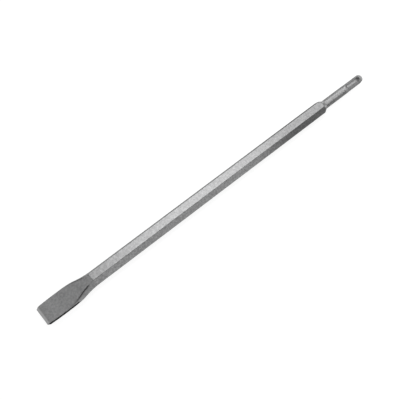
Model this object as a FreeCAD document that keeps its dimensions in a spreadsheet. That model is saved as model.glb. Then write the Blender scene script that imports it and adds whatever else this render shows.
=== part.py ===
import FreeCAD, Part
import math
import os

import Sketcher

# A flat chisel for a hammer drill, forged and turned from one length of hexagonal bar.
# Features are drawn with x running along the bar from the cutting edge to the shank's tip,
# y across the blade and z through its thickness, with the bar's axis on the x axis.
# The finished body is then placed lying on one flat of the bar.

# Driving dimensions, in millimetres and degrees.
sizes = {
    "overall_length": 440.0,
    "bar_across_flats": 14.3,
    "bar_corner_radius": 0.4,
    # Blade, measured from the cutting edge. Each side narrows by the side taper towards it.
    "blade_width": 22.0,
    "blade_widest_at": 24.0,
    "blade_thickness": 4.3,
    "blade_flat_length": 14.0,
    "side_taper": 0.75,
    "edge_land": 0.35,
    "bevel_length": 2.5,
    "bevel_thickness": 4.1,
    "corner_trim_width": 0.85,
    "corner_trim_length": 2.4,
    # The faces that the forging pressed down from the bar's top and bottom flats.
    "press_start": 58.1,
    "press_angle": 5.0,
    "crown_radius": 70.0,
    "hollow_radius": 114.0,
    # The sloping flanks that spread from the bar's sides to the blade's sides.
    "flare_start": 62.0,
    "flare_radius": 82.0,
    "spread_radius": 60.0,
    # Turned end, measured from the shank's tip.
    "shank_diameter": 10.0,
    "shoulder_to_tip": 65.2,
    "shoulder_angle": 32.0,
    "neck_radius": 8.7,
    "tip_chamfer_length": 2.4,
    "tip_chamfer_depth": 1.5,
    # Two closed grooves for the holder's locking balls.
    "ball_radius": 3.25,
    "ball_groove_depth": 1.65,
    "ball_groove_length": 22.0,
    "ball_groove_to_tip": 4.1,
    # Two open keyways for the holder's drive ribs.
    "keyway_length": 21.0,
    "keyway_depth": 1.9,
    "keyway_floor_width": 2.6,
    "keyway_wall_angle": 20.0,
    "keyway_runout_radius": 12.0,
    # How far a cutting shape reaches past the stock that it cuts.
    "overcut": 2.0,
}

doc = FreeCAD.newDocument("flat_chisel_model")
sheet = doc.addObject("Spreadsheet::Sheet", "dimensions")
for row, (alias, amount) in enumerate(sizes.items(), start=1):
    sheet.set(f"A{row}", alias.replace("_", " "))
    sheet.set(f"B{row}", str(amount))
    sheet.setAlias(f"B{row}", alias)
doc.recompute()

body = doc.addObject("PartDesign::Body", "flat_chisel")
body.Label = "flat_chisel"

# Formulas that more than one sketch uses.
half_bar = "dimensions.bar_across_flats / 2"
corner_reach = "dimensions.bar_across_flats / 2 / cos(30deg)"
shoulder_x = "(dimensions.overall_length - dimensions.shoulder_to_tip)"
keyway_floor = "(dimensions.shank_diameter / 2 - dimensions.keyway_depth)"
stock_half_width = "(dimensions.blade_width / 2 + dimensions.overcut)"
half_edge = "(dimensions.blade_width / 2 - dimensions.side_taper)"

# How a sketch numbers the ends and the centre of a piece, and its own two axes.
start, end, middle = range(1, 4)
x_axis, y_axis = range(-1, -3, -1)


def value(formula):
    """The number that a formula of sheet aliases gives."""
    return float(sheet.evalExpression(formula.replace("dimensions.", "")))


def origin_feature(role):
    """The body's own origin plane or axis with this role."""
    return next(item for item in body.Origin.OriginFeatures if item.Role == role)


def new_sketch(name, role):
    """An empty sketch on one of the body's origin planes."""
    sketch = body.newObject("Sketcher::SketchObject", name)
    sketch.AttachmentSupport = (origin_feature(role), [""])
    sketch.MapMode = "FlatFace"
    doc.recompute()
    return sketch


def line(x1, y1, x2, y2):
    return Part.LineSegment(FreeCAD.Vector(x1, y1, 0), FreeCAD.Vector(x2, y2, 0))


def arc(centre_x, centre_y, radius, first_angle, last_angle):
    """A counter-clockwise arc, with its angles in radians."""
    circle = Part.Circle(FreeCAD.Vector(centre_x, centre_y, 0), FreeCAD.Vector(0, 0, 1), radius)
    return Part.ArcOfCircle(circle, first_angle, last_angle)


def closed_outline(sketch, pieces, smooth=()):
    """Adds the pieces in order and joins the ends that lie together. Returns their numbers.

    smooth lists the pieces that run into the next one without a corner, counted from 0.
    """
    numbers = [sketch.addGeometry(piece, False) for piece in pieces]
    for index, piece in enumerate(pieces):
        following = pieces[(index + 1) % len(pieces)]
        meetings = [
            (mine.distanceToPoint(theirs), my_end, their_end)
            for my_end, mine in ((start, piece.StartPoint), (end, piece.EndPoint))
            for their_end, theirs in ((start, following.StartPoint), (end, following.EndPoint))
        ]
        _, my_end, their_end = min(meetings)
        next_number = numbers[(index + 1) % len(numbers)]
        kind = "Tangent" if index in smooth else "Coincident"
        relate(sketch, kind, numbers[index], my_end, next_number, their_end)
    return numbers


def relate(sketch, kind, *places):
    """A geometric constraint, with no size."""
    sketch.addConstraint(Sketcher.Constraint(kind, *places))


def dimension(sketch, name, formula, kind, *places):
    """A named constraint whose size follows the sheet."""
    amount = math.radians(value(formula)) if kind == "Angle" else value(formula)
    index = sketch.addConstraint(Sketcher.Constraint(kind, *places, amount))
    sketch.renameConstraint(index, name)
    sketch.setExpression(f"Constraints.{name}", formula)


def press_profile():
    """Half of the bar's side view: the bevel, the blade, the pressed slope and the bar's flat."""
    length = value("dimensions.overall_length")
    flat_height = value(half_bar)
    land = value("dimensions.edge_land / 2")
    bevel_x = value("dimensions.bevel_length")
    bevel_height = value("dimensions.bevel_thickness / 2")
    blade_x = value("dimensions.blade_flat_length")
    blade_height = value("dimensions.blade_thickness / 2")
    press_x = value("dimensions.press_start")
    hollow = value("dimensions.hollow_radius")
    crown = value("dimensions.crown_radius")
    slope = math.radians(value("dimensions.press_angle"))

    # The hollow arc leaves the blade along its face, and the crown arc meets the straight
    # slope that ends at the bar's flat. Their centres lie both radii apart where they touch.
    lean = math.atan2(blade_height - bevel_height, blade_x - bevel_x)
    hollow_x = blade_x - hollow * math.sin(lean)
    hollow_y = blade_height + hollow * math.cos(lean)
    base_x = press_x + crown * math.sin(slope) - hollow_x
    base_y = flat_height - crown * math.cos(slope) - hollow_y
    across = base_x * math.cos(slope) + base_y * math.sin(slope)
    apart = base_x ** 2 + base_y ** 2 - (hollow + crown) ** 2
    run = across - math.sqrt(across ** 2 - apart)
    crown_x = hollow_x + base_x - run * math.cos(slope)
    crown_y = hollow_y + base_y - run * math.sin(slope)
    slope_x = press_x - run * math.cos(slope)
    slope_y = flat_height - run * math.sin(slope)
    turn = math.atan2(hollow_y - crown_y, hollow_x - crown_x)
    meet_x = crown_x + crown * math.cos(turn)
    meet_y = crown_y + crown * math.sin(turn)

    sketch = new_sketch("press_profile", "XZ_Plane")
    pieces = [
        line(0, 0, 0, land),
        line(0, land, bevel_x, bevel_height),
        line(bevel_x, bevel_height, blade_x, blade_height),
        arc(hollow_x, hollow_y, hollow, lean - math.pi / 2, turn - math.pi),
        arc(crown_x, crown_y, crown, math.pi / 2 + slope, turn),
        line(slope_x, slope_y, press_x, flat_height),
        line(press_x, flat_height, length, flat_height),
        line(length, flat_height, length, 0),
        line(length, 0, 0, 0),
    ]
    numbers = closed_outline(sketch, pieces, smooth=(2, 3, 4))
    edge, bevel, face, hollow_arc, crown_arc, ramp, flat, tip, _ = numbers
    relate(sketch, "Coincident", edge, start, x_axis, start)
    relate(sketch, "Vertical", edge)
    relate(sketch, "Horizontal", flat)
    relate(sketch, "Vertical", tip)
    relate(sketch, "PointOnObject", tip, end, x_axis)
    dimension(sketch, "half_land", "dimensions.edge_land / 2", "DistanceY", edge, end)
    dimension(sketch, "bevel_end_x", "dimensions.bevel_length", "DistanceX", bevel, end)
    dimension(sketch, "bevel_end_z", "dimensions.bevel_thickness / 2", "DistanceY", bevel, end)
    dimension(sketch, "face_end_x", "dimensions.blade_flat_length", "DistanceX", face, end)
    dimension(sketch, "face_end_z", "dimensions.blade_thickness / 2", "DistanceY", face, end)
    dimension(sketch, "hollow_size", "dimensions.hollow_radius", "Radius", hollow_arc)
    dimension(sketch, "crown_size", "dimensions.crown_radius", "Radius", crown_arc)
    dimension(sketch, "ramp_end_x", "dimensions.press_start", "DistanceX", ramp, end)
    dimension(sketch, "ramp_end_z", half_bar, "DistanceY", ramp, end)
    dimension(sketch, "ramp_slope", "dimensions.press_angle * 1deg", "Angle", ramp)
    dimension(sketch, "bar_end", "dimensions.overall_length", "DistanceX", tip, end)
    return sketch


def blade_side():
    """What is cut away outside the blade's bulging side and its trimmed corner."""
    taper = value("dimensions.side_taper")
    half_width = value("dimensions.blade_width / 2")
    widest = value("dimensions.blade_widest_at")
    trim = value("dimensions.corner_trim_length")
    trimmed = value(half_edge + " - dimensions.corner_trim_width")
    spare = value("dimensions.overcut")
    outside = value(stock_half_width) + spare

    # The side is one long arc through the edge's width and the widest place.
    radius = (widest ** 2 + taper ** 2) / (2 * taper)
    centre_y = half_width - radius
    far_x = 2 * widest
    trim_angle = math.acos((trim - widest) / radius)
    far_angle = math.acos((far_x - widest) / radius)
    trim_y = centre_y + radius * math.sin(trim_angle)
    far_y = centre_y + radius * math.sin(far_angle)

    sketch = new_sketch("blade_side", "XY_Plane")
    pieces = [
        line(-spare, trimmed, 0, trimmed),
        line(0, trimmed, trim, trim_y),
        arc(widest, centre_y, radius, far_angle, trim_angle),
        line(far_x, far_y, far_x, outside),
        line(far_x, outside, -spare, outside),
        line(-spare, outside, -spare, trimmed),
    ]
    lead, corner, side, far_wall, outer, near_wall = closed_outline(sketch, pieces)
    crest = sketch.addGeometry(Part.Point(FreeCAD.Vector(widest, half_width, 0)), True)
    front = sketch.addGeometry(Part.Point(FreeCAD.Vector(0, half_width - taper, 0)), True)
    relate(sketch, "Horizontal", lead)
    relate(sketch, "Vertical", far_wall)
    relate(sketch, "Horizontal", outer)
    relate(sketch, "Vertical", near_wall)
    relate(sketch, "PointOnObject", crest, start, side)
    relate(sketch, "PointOnObject", front, start, side)
    relate(sketch, "PointOnObject", lead, end, y_axis)
    relate(sketch, "PointOnObject", front, start, y_axis)
    relate(sketch, "Vertical", crest, start, side, middle)
    dimension(sketch, "widest_x", "dimensions.blade_widest_at", "DistanceX", crest, start)
    dimension(sketch, "widest_y", "dimensions.blade_width / 2", "DistanceY", crest, start)
    dimension(sketch, "front_y", half_edge, "DistanceY", front, start)
    trimmed_half = half_edge + " - dimensions.corner_trim_width"
    dimension(sketch, "trimmed_y", trimmed_half, "DistanceY", lead, end)
    dimension(sketch, "trim_x", "dimensions.corner_trim_length", "DistanceX", corner, end)
    dimension(sketch, "far_x", "2 * dimensions.blade_widest_at", "DistanceX", far_wall, start)
    outside_formula = stock_half_width + " + dimensions.overcut"
    dimension(sketch, "outside_y", outside_formula, "DistanceY", outer, start)
    dimension(sketch, "lead_in", "-dimensions.overcut", "DistanceX", near_wall, end)
    return sketch


def flank_outline():
    """What is cut away outside the flank, on the bar's middle plane."""
    length = value("dimensions.overall_length")
    bar_y = value(corner_reach)
    blade_formula = "dimensions.blade_width / 2 + dimensions.blade_thickness / 2 * tan(30deg)"
    blade_y = value(blade_formula)
    flare_x = value("dimensions.flare_start")
    flare = value("dimensions.flare_radius")
    spread = value("dimensions.spread_radius")
    spare = value("dimensions.overcut")
    outside_formula = stock_half_width + " + " + half_bar + " * tan(30deg) + dimensions.overcut"
    outside = value(outside_formula)

    # Two arcs that touch make the ogee. It leaves the bar along the bar's side and ends level.
    turn = math.acos(1 - (blade_y - bar_y) / (flare + spread))
    meet_x = flare_x - flare * math.sin(turn)
    spread_x = meet_x - spread * math.sin(turn)

    sketch = new_sketch("flank_outline", "XY_Plane")
    up = math.pi / 2
    pieces = [
        line(-spare, blade_y, spread_x, blade_y),
        arc(spread_x, blade_y - spread, spread, up - turn, up),
        arc(flare_x, bar_y + flare, flare, -up - turn, -up),
        line(flare_x, bar_y, length + spare, bar_y),
        line(length + spare, bar_y, length + spare, outside),
        line(length + spare, outside, -spare, outside),
        line(-spare, outside, -spare, blade_y),
    ]
    numbers = closed_outline(sketch, pieces, smooth=(0, 1, 2))
    level, spread_arc, flare_arc, side, far_wall, outer, near_wall = numbers
    relate(sketch, "Horizontal", level)
    relate(sketch, "Horizontal", side)
    relate(sketch, "Vertical", far_wall)
    relate(sketch, "Horizontal", outer)
    relate(sketch, "Vertical", near_wall)
    dimension(sketch, "blade_y", blade_formula, "DistanceY", level, start)
    dimension(sketch, "bar_y", corner_reach, "DistanceY", side, start)
    dimension(sketch, "flare_x", "dimensions.flare_start", "DistanceX", side, start)
    dimension(sketch, "flare_size", "dimensions.flare_radius", "Radius", flare_arc)
    dimension(sketch, "spread_size", "dimensions.spread_radius", "Radius", spread_arc)
    dimension(sketch, "outside_y", outside_formula, "DistanceY", outer, start)
    dimension(sketch, "lead_in", "-dimensions.overcut", "DistanceX", near_wall, end)
    lead_out = "dimensions.overall_length + dimensions.overcut"
    dimension(sketch, "lead_out", lead_out, "DistanceX", far_wall, start)
    return sketch


def corner_round():
    """What is cut away outside one rounded corner of the bar, at the start of the plain bar."""
    radius = value("dimensions.bar_corner_radius")
    spare = value("dimensions.overcut")
    centre_formula = "(" + half_bar + " - dimensions.bar_corner_radius) / cos(30deg)"
    centre_y = value(centre_formula)
    side = math.radians(30)
    touch_y = centre_y + radius * math.cos(side)
    touch_z = radius * math.sin(side)
    outer_y = centre_y + (radius + spare) * math.cos(side)
    outer_z = (radius + spare) * math.sin(side)

    sketch = new_sketch("corner_round", "YZ_Plane")
    sketch.setExpression("AttachmentOffset.Base.z", "dimensions.flare_start")
    pieces = [
        arc(centre_y, 0, radius, -side, side),
        line(touch_y, touch_z, outer_y, outer_z),
        line(outer_y, outer_z, outer_y, -outer_z),
        line(outer_y, -outer_z, touch_y, -touch_z),
    ]
    corner, upper, outer, lower = closed_outline(sketch, pieces)
    relate(sketch, "PointOnObject", corner, middle, x_axis)
    relate(sketch, "Symmetric", corner, start, corner, end, x_axis)
    relate(sketch, "Symmetric", outer, start, outer, end, x_axis)
    dimension(sketch, "centre_y", centre_formula, "DistanceX", corner, middle)
    dimension(sketch, "corner_size", "dimensions.bar_corner_radius", "Radius", corner)
    dimension(sketch, "upper_lean", "30deg", "Angle", upper)
    dimension(sketch, "upper_length", "dimensions.overcut", "Distance", upper)
    relate(sketch, "PointOnObject", corner, middle, upper)
    return sketch


def turning_profile():
    """What the lathe takes off the bar: shoulder cone, neck, shank and the tip's chamfer."""
    length = value("dimensions.overall_length")
    shank = value("dimensions.shank_diameter / 2")
    corner_x = value(shoulder_x)
    corner_y = value(corner_reach)
    cone = math.radians(value("dimensions.shoulder_angle"))
    neck = value("dimensions.neck_radius")
    chamfer_x = value("dimensions.tip_chamfer_length")
    chamfer_y = value("dimensions.tip_chamfer_depth")
    spare = value("dimensions.overcut")

    outer_y = corner_y + spare
    outer_x = corner_x - spare / math.tan(cone)
    foot_x = corner_x + (corner_y - shank) / math.tan(cone)
    reach = neck * math.tan(cone / 2)
    cone_end_x = foot_x - reach * math.cos(cone)
    cone_end_y = shank + reach * math.sin(cone)
    neck_x = foot_x + reach
    down = -math.pi / 2

    sketch = new_sketch("turning_profile", "XZ_Plane")
    pieces = [
        line(outer_x, outer_y, cone_end_x, cone_end_y),
        arc(neck_x, shank + neck, neck, down - cone, down),
        line(neck_x, shank, length - chamfer_x, shank),
        line(length - chamfer_x, shank, length, shank - chamfer_y),
        line(length, shank - chamfer_y, length + spare, shank - chamfer_y),
        line(length + spare, shank - chamfer_y, length + spare, outer_y),
        line(length + spare, outer_y, outer_x, outer_y),
    ]
    numbers = closed_outline(sketch, pieces, smooth=(0, 1))
    cone_line, neck_arc, barrel, chamfer, lead, far_wall, outer = numbers
    corner = sketch.addGeometry(Part.Point(FreeCAD.Vector(corner_x, corner_y, 0)), True)
    relate(sketch, "Horizontal", barrel)
    relate(sketch, "Horizontal", lead)
    relate(sketch, "Vertical", far_wall)
    relate(sketch, "Horizontal", outer)
    relate(sketch, "PointOnObject", corner, start, cone_line)
    dimension(sketch, "corner_x", shoulder_x, "DistanceX", corner, start)
    dimension(sketch, "corner_z", corner_reach, "DistanceY", corner, start)
    dimension(sketch, "cone_angle", "-dimensions.shoulder_angle * 1deg", "Angle", cone_line)
    dimension(sketch, "neck_size", "dimensions.neck_radius", "Radius", neck_arc)
    dimension(sketch, "shank_z", "dimensions.shank_diameter / 2", "DistanceY", barrel, start)
    chamfer_start = "dimensions.overall_length - dimensions.tip_chamfer_length"
    dimension(sketch, "chamfer_x", chamfer_start, "DistanceX", chamfer, start)
    dimension(sketch, "tip_x", "dimensions.overall_length", "DistanceX", chamfer, end)
    tip_radius = "dimensions.shank_diameter / 2 - dimensions.tip_chamfer_depth"
    dimension(sketch, "tip_z", tip_radius, "DistanceY", chamfer, end)
    lead_out = "dimensions.overall_length + dimensions.overcut"
    dimension(sketch, "lead_out", lead_out, "DistanceX", far_wall, start)
    outer_formula = corner_reach + " + dimensions.overcut"
    dimension(sketch, "outer_z", outer_formula, "DistanceY", outer, start)
    return sketch


def ball_track():
    """Half of the round-ended track that the ball leaves, to be turned about its own centre line."""
    ball = value("dimensions.ball_radius")
    axis_formula = "dimensions.shank_diameter / 2 - dimensions.ball_groove_depth + dimensions.ball_radius"
    axis_y = value(axis_formula)
    # At the shank's surface the ball's mark is narrower than the ball.
    mark = "sqrt(2 * dimensions.ball_radius * dimensions.ball_groove_depth - dimensions.ball_groove_depth ^ 2)"
    last_formula = f"dimensions.overall_length - dimensions.ball_groove_to_tip - {mark}"
    first_formula = f"{last_formula} - dimensions.ball_groove_length + 2 * {mark}"
    last_x = value(last_formula)
    first_x = value(first_formula)
    down = -math.pi / 2

    sketch = new_sketch("ball_track", "XZ_Plane")
    pieces = [
        line(last_x + ball, axis_y, first_x - ball, axis_y),
        arc(first_x, axis_y, ball, math.pi, 3 * math.pi / 2),
        line(first_x, axis_y - ball, last_x, axis_y - ball),
        arc(last_x, axis_y, ball, down, 0),
    ]
    centre_line, first_arc, _, last_arc = closed_outline(sketch, pieces, smooth=(1, 2))
    relate(sketch, "Horizontal", centre_line)
    relate(sketch, "PointOnObject", first_arc, middle, centre_line)
    relate(sketch, "PointOnObject", last_arc, middle, centre_line)
    relate(sketch, "Equal", first_arc, last_arc)
    dimension(sketch, "axis_z", axis_formula, "DistanceY", first_arc, middle)
    dimension(sketch, "ball_size", "dimensions.ball_radius", "Radius", first_arc)
    dimension(sketch, "first_x", first_formula, "DistanceX", first_arc, middle)
    dimension(sketch, "last_x", last_formula, "DistanceX", last_arc, middle)
    turning_axis = sketch.addGeometry(line(first_x, axis_y, last_x, axis_y), True)
    relate(sketch, "Coincident", turning_axis, start, first_arc, middle)
    relate(sketch, "Coincident", turning_axis, end, last_arc, middle)
    return sketch


def keyway_section():
    """The keyway's section where its run-out begins, with the cutter's axis beside it."""
    floor_y = value(keyway_floor)
    half_floor = value("dimensions.keyway_floor_width / 2")
    wall = math.radians(value("dimensions.keyway_wall_angle"))
    mouth_formula = "dimensions.shank_diameter / 2 + dimensions.overcut"
    mouth_y = value(mouth_formula)
    half_mouth = half_floor + (mouth_y - floor_y) * math.tan(wall)
    cutter_formula = keyway_floor + " + dimensions.keyway_runout_radius"
    cutter_y = value(cutter_formula)

    sketch = new_sketch("keyway_section", "YZ_Plane")
    station = "dimensions.overall_length - dimensions.keyway_length"
    sketch.setExpression("AttachmentOffset.Base.z", station)
    pieces = [
        line(floor_y, -half_floor, floor_y, half_floor),
        line(floor_y, half_floor, mouth_y, half_mouth),
        line(mouth_y, half_mouth, mouth_y, -half_mouth),
        line(mouth_y, -half_mouth, floor_y, -half_floor),
    ]
    floor, upper_wall, mouth, lower_wall = closed_outline(sketch, pieces)
    cutter = sketch.addGeometry(line(cutter_y, -mouth_y, cutter_y, mouth_y), True)
    relate(sketch, "Symmetric", floor, start, floor, end, x_axis)
    relate(sketch, "Symmetric", mouth, start, mouth, end, x_axis)
    relate(sketch, "Symmetric", cutter, start, cutter, end, x_axis)
    dimension(sketch, "floor_y", keyway_floor, "DistanceX", floor, start)
    dimension(sketch, "floor_width", "dimensions.keyway_floor_width", "DistanceY", floor, start, floor, end)
    dimension(sketch, "mouth_y", mouth_formula, "DistanceX", mouth, start)
    dimension(sketch, "wall_angle", "dimensions.keyway_wall_angle * 1deg", "Angle", upper_wall)
    dimension(sketch, "cutter_y", cutter_formula, "DistanceX", cutter, start)
    dimension(sketch, "cutter_reach", "2 * (" + mouth_formula + ")", "DistanceY", cutter, start, cutter, end)
    return sketch


def add_feature(kind, name, settings, formulas=None):
    """Makes a feature with its settings and its sizes' formulas, as the body's new tip."""
    feature = body.newObject(f"PartDesign::{kind}", name)
    for setting, amount in settings.items():
        setattr(feature, setting, amount)
    for setting, formula in (formulas or {}).items():
        feature.setExpression(setting, formula)
    body.Tip = feature
    doc.recompute()
    if "Invalid" in feature.State or feature.Shape.isNull():
        raise RuntimeError(f"{name} failed: {feature.State}")
    return feature


def cutting_feature(kind, name, settings, formulas=None):
    """A feature that has to take material away."""
    before = body.Shape.Volume
    feature = add_feature(kind, name, settings, formulas)
    if body.Shape.Volume > before - 1:
        raise RuntimeError(f"{name} cuts nothing")
    return feature


def forge_bar():
    """One quarter of the forging, then the same on the other three sides of the axis."""
    flank_lean = FreeCAD.Vector(0, -math.sin(math.radians(30)), math.cos(math.radians(30)))
    cut_height = "(" + half_bar + " + dimensions.overcut)"
    quarter = add_feature(
        "Pad", "quarter_bar",
        {"Profile": press_profile(), "Reversed": True},
        {"Length": stock_half_width})
    side = cutting_feature(
        "Pocket", "blade_side_cut",
        {"Profile": blade_side(), "Reversed": True},
        {"Length": cut_height})
    flank = cutting_feature(
        "Pocket", "flank_cut",
        {"Profile": flank_outline(), "UseCustomVector": True, "Direction": flank_lean},
        {"Length": cut_height + " / cos(30deg)"})
    across = body.newObject("PartDesign::Mirrored", "mirror_across")
    across.MirrorPlane = (origin_feature("XZ_Plane"), [""])
    below = body.newObject("PartDesign::Mirrored", "mirror_below")
    below.MirrorPlane = (origin_feature("XY_Plane"), [""])
    return add_feature(
        "MultiTransform", "four_quarters",
        {"Originals": [quarter, side, flank], "Transformations": [across, below]})


def round_bar_corners():
    """The bar's six long corners, from the start of the plain bar to its end."""
    corner = cutting_feature(
        "Pocket", "bar_corner",
        {"Profile": corner_round(), "Reversed": True},
        {"Length": "dimensions.overall_length - dimensions.flare_start + dimensions.overcut"})
    return cutting_feature(
        "PolarPattern", "bar_corners",
        {"Originals": [corner], "Axis": (origin_feature("X_Axis"), [""]), "Angle": 360, "Occurrences": 6})


def turn_end():
    """Shoulder, neck, shank and chamfered tip."""
    profile = turning_profile()
    return cutting_feature(
        "Groove", "turned_end",
        {"Profile": profile, "ReferenceAxis": (profile, ["H_Axis"])})


def cut_ball_grooves():
    """The two closed grooves, in line with the blade's faces."""
    profile = ball_track()
    groove = cutting_feature(
        "Groove", "ball_groove",
        {"Profile": profile, "ReferenceAxis": (profile, ["Axis0"])})
    return cutting_feature(
        "Mirrored", "ball_grooves",
        {"Originals": [groove], "MirrorPlane": (origin_feature("XY_Plane"), [""])})


def cut_keyways():
    """The two open keyways, each a straight run to the tip with a cutter's run-out behind it."""
    profile = keyway_section()
    straight = cutting_feature(
        "Pocket", "keyway_run",
        {"Profile": profile, "Reversed": True},
        {"Length": "dimensions.keyway_length + dimensions.overcut"})
    runout = cutting_feature(
        "Groove", "keyway_runout",
        {"Profile": profile, "ReferenceAxis": (profile, ["Axis0"]), "Angle": 90, "Reversed": True})
    return cutting_feature(
        "Mirrored", "keyways",
        {"Originals": [straight, runout], "MirrorPlane": (origin_feature("XZ_Plane"), [""])})


forge_bar()
round_bar_corners()
turn_end()
cut_ball_grooves()
cut_keyways()

# The chisel lies on one flat of the bar, with the origin below the middle of its length.
body.setExpression("Placement.Base.x", "-dimensions.overall_length / 2")
body.setExpression("Placement.Base.z", half_bar)
doc.recompute()

for item in doc.Objects:
    if "Invalid" in item.State or "Error" in item.State:
        raise RuntimeError(f"{item.Name} is in state {item.State}")
shape = body.Shape
if shape.isNull() or not shape.isValid() or len(shape.Solids) != 1:
    raise RuntimeError("the chisel isn't one valid solid")

os.makedirs("parts", exist_ok=True)
shape.exportStep(f"parts/{body.Label}.step")
box = shape.optimalBoundingBox()
print(f"{body.Label}: {len(shape.Faces)} faces, {shape.Volume / 1000:.2f} cm3, "
      f"{box.XLength:.2f} x {box.YLength:.2f} x {box.ZLength:.2f} mm")
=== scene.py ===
import bpy
import math
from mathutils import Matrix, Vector


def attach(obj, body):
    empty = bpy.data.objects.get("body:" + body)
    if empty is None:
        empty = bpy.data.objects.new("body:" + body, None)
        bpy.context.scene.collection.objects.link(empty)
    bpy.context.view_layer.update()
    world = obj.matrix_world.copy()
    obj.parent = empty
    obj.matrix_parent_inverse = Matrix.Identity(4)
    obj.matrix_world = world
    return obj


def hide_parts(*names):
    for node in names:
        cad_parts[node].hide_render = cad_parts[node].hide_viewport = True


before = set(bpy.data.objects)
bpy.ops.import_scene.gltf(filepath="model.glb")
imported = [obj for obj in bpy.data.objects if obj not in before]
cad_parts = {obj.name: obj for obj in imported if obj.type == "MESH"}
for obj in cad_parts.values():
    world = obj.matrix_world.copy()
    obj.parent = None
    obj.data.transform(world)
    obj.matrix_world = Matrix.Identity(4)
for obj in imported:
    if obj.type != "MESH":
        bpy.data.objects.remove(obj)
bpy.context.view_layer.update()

scene = bpy.context.scene
flankAngle = math.radians(30)  # half the angle that each flat of the hexagon spans


class Field:
    # a value that a node tree works out, with Python's own signs for its sums
    def __init__(self, tree, socket):
        self.tree = tree
        self.socket = socket

    def calc(self, operation, *others):
        return calc(self.tree, operation, self, *others)

    def __add__(self, other):
        return self.calc("ADD", other)

    def __radd__(self, other):
        return self.calc("ADD", other)

    def __sub__(self, other):
        return self.calc("SUBTRACT", other)

    def __rsub__(self, other):
        return calc(self.tree, "SUBTRACT", other, self)

    def __mul__(self, other):
        return self.calc("MULTIPLY", other)

    def __rmul__(self, other):
        return self.calc("MULTIPLY", other)

    def __truediv__(self, other):
        return self.calc("DIVIDE", other)

    def __rtruediv__(self, other):
        return calc(self.tree, "DIVIDE", other, self)

    def __neg__(self):
        return self.calc("MULTIPLY", -1)

    def root(self):
        return self.calc("SQRT")

    def radians(self):
        return self * (math.pi / 180)

    def least(self, other):
        return self.calc("MINIMUM", other)

    def most(self, other):
        return self.calc("MAXIMUM", other)

    def softLeast(self, other, blend):
        return self.calc("SMOOTH_MIN", other, blend)

    def softMost(self, other, blend):
        return self.calc("SMOOTH_MAX", other, blend)

    def below(self, limit):
        return self.calc("LESS_THAN", limit)

    def bounded(self):
        return self.most(0).least(1)

    def eased(self):
        return self * self * (3 - 2 * self)


def calc(tree, operation, *values):
    node = tree.nodes.new("ShaderNodeMath")
    node.operation = operation
    for position, value in enumerate(values):
        feed(tree, value, node.inputs[position])
    return Field(tree, node.outputs[0])


def feed(tree, value, socket):
    if isinstance(value, Field):
        tree.links.new(value.socket, socket)
    else:
        socket.default_value = value


def vectorOf(tree, *values):
    node = tree.nodes.new("ShaderNodeCombineXYZ")
    for axis, value in zip("XYZ", values):
        feed(tree, value, node.inputs[axis])
    return node.outputs[0]


def choose(test, whenTrue, whenFalse):
    return test * whenTrue + (1 - test) * whenFalse


def ramp(value, start, end):
    return ((value - start) / (end - start)).bounded()


def halfChord(radius, away):
    # half the width of a circle at a distance from its centre
    return (radius * radius - away * away).root()


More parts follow.
